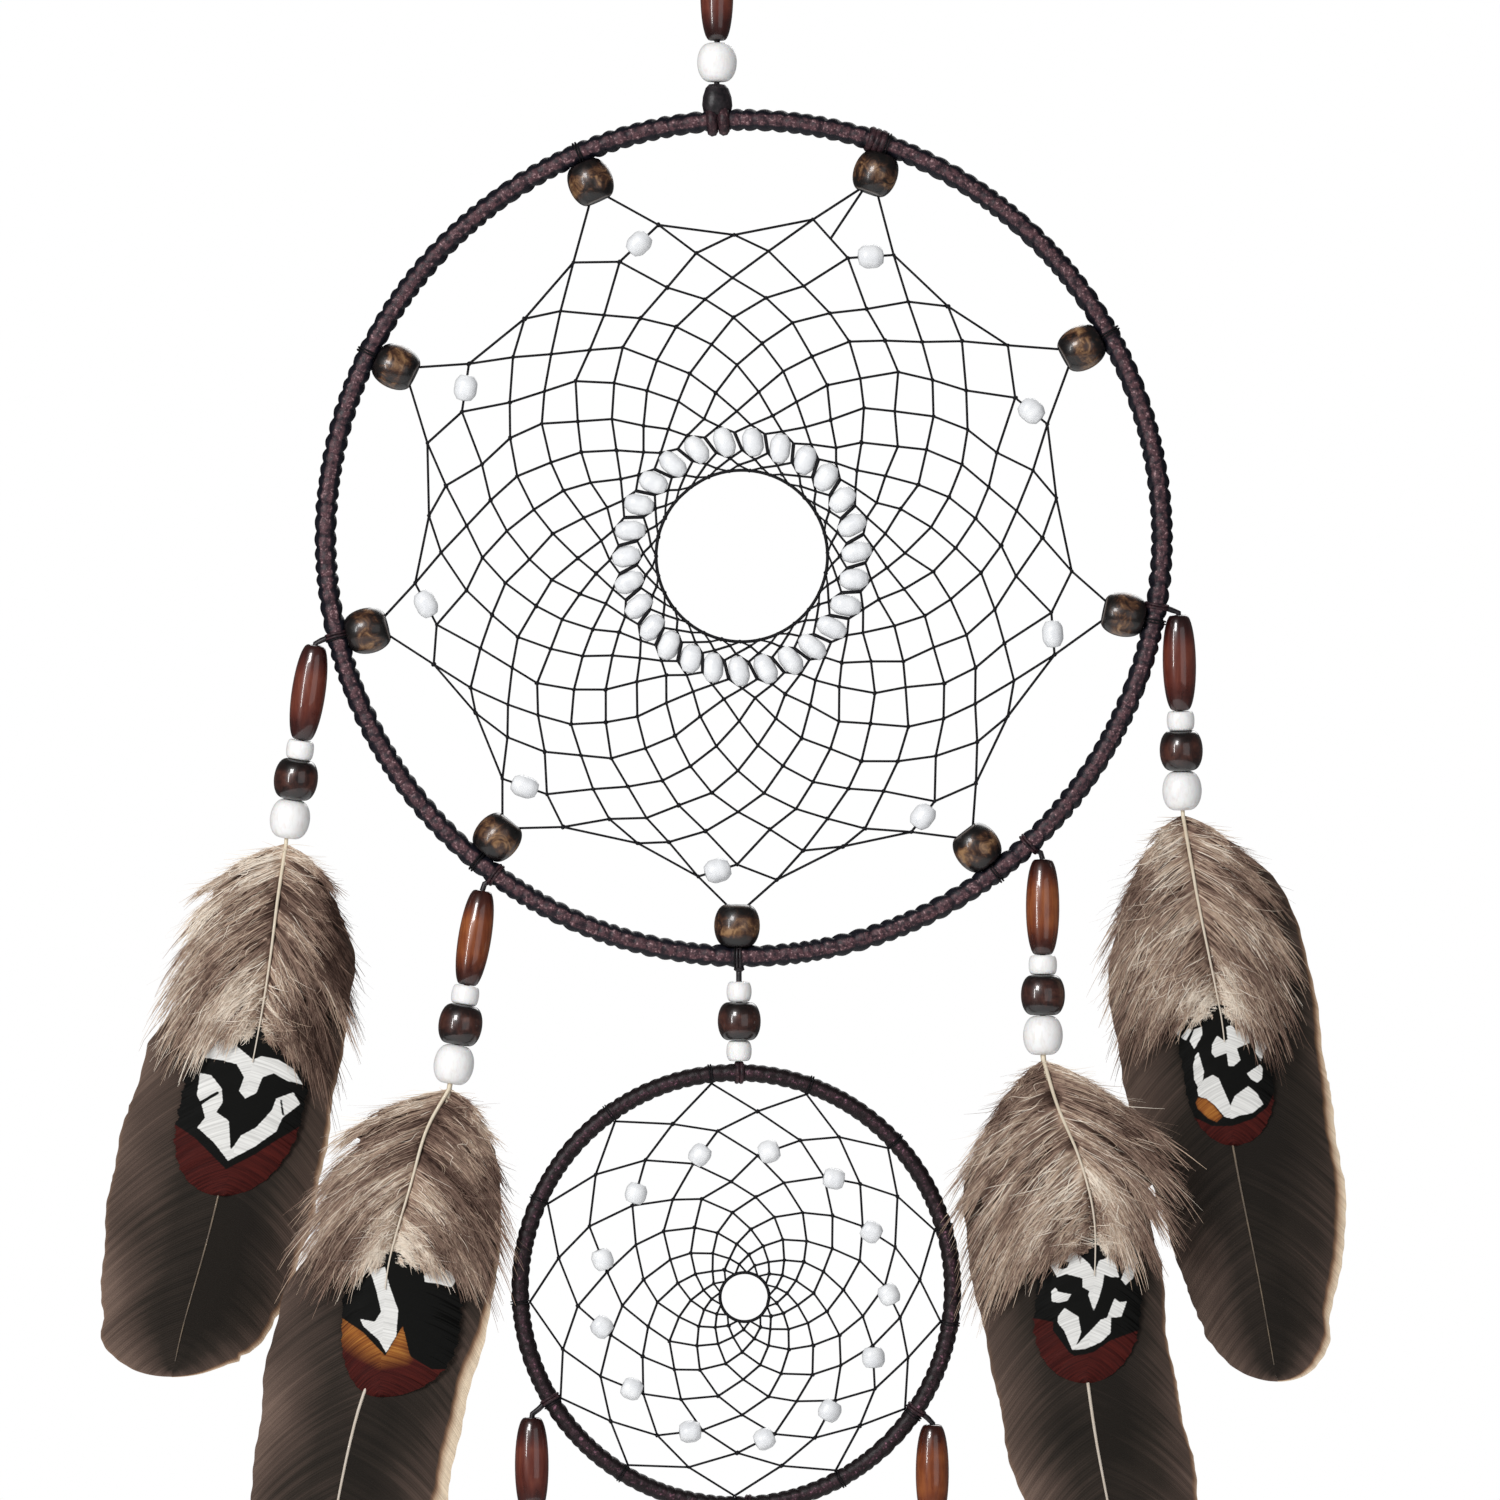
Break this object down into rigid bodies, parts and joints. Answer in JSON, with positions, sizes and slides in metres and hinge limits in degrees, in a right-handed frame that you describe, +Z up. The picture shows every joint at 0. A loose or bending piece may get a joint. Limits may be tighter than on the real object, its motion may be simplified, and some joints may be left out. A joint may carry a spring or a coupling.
{
  "type": "dream catcher",
  "caption": "Hanging ornament: a large wound hoop with a knotted web, a small webbed hoop below it, and beaded strands that end in feathers.",
  "frame": {"origin": "the point that it hangs from, inside the top of the hanging loop", "axes": "+Z up, +X to the right seen from the front, and the front of the web faces -Y"},
  "size_m": [0.3218, 0.0279, 0.6429],
  "materials": {
    "cord": "matte twisted cord",
    "web_thread": "waxed thread",
    "hoop_winding": "satin flat cord with a mauve band",
    "small_winding": "satin flat cord with a thin mauve line",
    "steel_ring": "drawn wire",
    "pipe_wood": "lacquered gloss",
    "burnt_wood": "burnt and lacquered",
    "dark_wood": "dark lacquer",
    "white_bead": "gloss",
    "feather": "barbs and down"
  },
  "bodies": {
    "hanger": {"hanging_loop": "cord", "hanger_pipe_bead": "pipe_wood", "hanger_white_bead": "white_bead"},
    "big_hoop": {"big_hoop_core": "steel_ring", "big_hoop_wrap": "hoop_winding", "big_web": "web_thread", "hoop_bead_1": "burnt_wood", "hoop_bead_2": "burnt_wood", "hoop_bead_3": "burnt_wood", "hoop_bead_4": "burnt_wood", "hoop_bead_5": "burnt_wood", "hoop_bead_6": "burnt_wood", "hoop_bead_7": "burnt_wood", "hoop_bead_8": "burnt_wood", "hoop_bead_9": "burnt_wood"},
    "link": {"link_cord": "cord", "link_upper_white_bead": "white_bead", "link_brown_bead": "dark_wood", "link_lower_white_bead": "white_bead"},
    "small_hoop": {"small_hoop_core": "steel_ring", "small_hoop_wrap": "small_winding", "small_web": "web_thread"},
    "outer_left_strand": {"outer_left_cord": "cord", "outer_left_pipe_bead": "pipe_wood", "outer_left_spacer_bead": "white_bead", "outer_left_brown_bead": "dark_wood"},
    "outer_left_feather": {"outer_left_white_bead": "white_bead", "outer_left_feather": "feather"},
    "inner_left_strand": {"inner_left_cord": "cord", "inner_left_pipe_bead": "pipe_wood", "inner_left_spacer_bead": "white_bead", "inner_left_brown_bead": "dark_wood"},
    "inner_left_feather": {"inner_left_white_bead": "white_bead", "inner_left_feather": "feather"},
    "inner_right_strand": {"inner_right_cord": "cord", "inner_right_pipe_bead": "pipe_wood", "inner_right_spacer_bead": "white_bead", "inner_right_brown_bead": "dark_wood"},
    "inner_right_feather": {"inner_right_white_bead": "white_bead", "inner_right_feather": "feather"},
    "outer_right_strand": {"outer_right_cord": "cord", "outer_right_pipe_bead": "pipe_wood", "outer_right_spacer_bead": "white_bead", "outer_right_brown_bead": "dark_wood"},
    "outer_right_feather": {"outer_right_white_bead": "white_bead", "outer_right_feather": "feather"},
    "lower_left_strand": {"lower_left_cord": "cord", "lower_left_pipe_bead": "pipe_wood", "lower_left_brown_bead": "dark_wood"},
    "lower_left_feather": {"lower_left_white_bead": "white_bead", "lower_left_feather": "feather"},
    "lower_right_strand": {"lower_right_cord": "cord", "lower_right_pipe_bead": "pipe_wood", "lower_right_brown_bead": "dark_wood"},
    "lower_right_feather": {"lower_right_white_bead": "white_bead", "lower_right_feather": "feather"},
    "lower_centre_strand": {"lower_centre_cord": "cord", "lower_centre_pipe_bead": "pipe_wood"},
    "lower_centre_feather": {"lower_centre_white_bead": "white_bead", "lower_centre_feather": "feather"}
  },
  "joints": [
    {"name": "hoop_twist", "type": "hinge", "parent": "hanger", "child": "big_hoop", "pos_m": [0, 0, -0.0895], "axis": [0, 0, 1], "range_deg": [-180, 180]},
    {"name": "link_swing", "type": "hinge", "parent": "big_hoop", "child": "link", "pos_m": [0.0057, 0, -0.3112], "axis": [1, 0, 0], "range_deg": [-45, 45]},
    {"name": "small_hoop_twist", "type": "hinge", "parent": "link", "child": "small_hoop", "pos_m": [0.0057, 0, -0.3345], "axis": [0, 0, 1], "range_deg": [-180, 180]},
    {"name": "outer_left_swing", "type": "hinge", "parent": "big_hoop", "child": "outer_left_strand", "pos_m": [-0.1025, 0, -0.224], "axis": [1, 0, 0], "range_deg": [0, 60]},
    {"name": "outer_left_feather_twist", "type": "hinge", "parent": "outer_left_strand", "child": "outer_left_feather", "pos_m": [-0.10973, 0.00295, -0.27227], "axis": [0.1478, -0.0604, 0.9872], "range_deg": [-60, 0]},
    {"name": "inner_left_swing", "type": "hinge", "parent": "big_hoop", "child": "inner_left_strand", "pos_m": [-0.0599, 0, -0.2889], "axis": [1, 0, 0], "range_deg": [-60, 0]},
    {"name": "inner_left_feather_twist", "type": "hinge", "parent": "inner_left_strand", "child": "inner_left_feather", "pos_m": [-0.06741, -0.00283, -0.33521], "axis": [0.1599, 0.0603, 0.9853], "range_deg": [0, 90]},
    {"name": "inner_right_swing", "type": "hinge", "parent": "big_hoop", "child": "inner_right_strand", "pos_m": [0.0836, 0, -0.2806], "axis": [1, 0, 0], "range_deg": [-60, 0]},
    {"name": "inner_right_feather_twist", "type": "hinge", "parent": "inner_right_strand", "child": "inner_right_feather", "pos_m": [0.0836, -0.00288, -0.32771], "axis": [0, 0.061, 0.9981], "range_deg": [-90, 0]},
    {"name": "outer_right_swing", "type": "hinge", "parent": "big_hoop", "child": "outer_right_strand", "pos_m": [0.1184, 0, -0.216], "axis": [1, 0, 0], "range_deg": [0, 60]},
    {"name": "outer_right_feather_twist", "type": "hinge", "parent": "outer_right_strand", "child": "outer_right_feather", "pos_m": [0.11951, 0.003, -0.265], "axis": [-0.0227, -0.061, 0.9979], "range_deg": [0, 30]},
    {"name": "lower_left_swing", "type": "hinge", "parent": "small_hoop", "child": "lower_left_strand", "pos_m": [-0.0475, 0, -0.4194], "axis": [1, 0, 0], "range_deg": [-60, 60]},
    {"name": "lower_left_feather_twist", "type": "hinge", "parent": "lower_left_strand", "child": "lower_left_feather", "pos_m": [-0.0475, 0, -0.4711], "axis": [0, 0, 1], "range_deg": [-90, 90]},
    {"name": "lower_right_swing", "type": "hinge", "parent": "small_hoop", "child": "lower_right_strand", "pos_m": [0.0553, 0, -0.4232], "axis": [1, 0, 0], "range_deg": [-60, 60]},
    {"name": "lower_right_feather_twist", "type": "hinge", "parent": "lower_right_strand", "child": "lower_right_feather", "pos_m": [0.0553, 0, -0.4729], "axis": [0, 0, 1], "range_deg": [-90, 90]},
    {"name": "lower_centre_swing", "type": "hinge", "parent": "small_hoop", "child": "lower_centre_strand", "pos_m": [0.01, 0, -0.4512], "axis": [1, 0, 0], "range_deg": [-60, 60]},
    {"name": "lower_centre_feather_twist", "type": "hinge", "parent": "lower_centre_strand", "child": "lower_centre_feather", "pos_m": [0.01, 0, -0.499], "axis": [0, 0, 1], "range_deg": [-90, 90]}
  ]
}
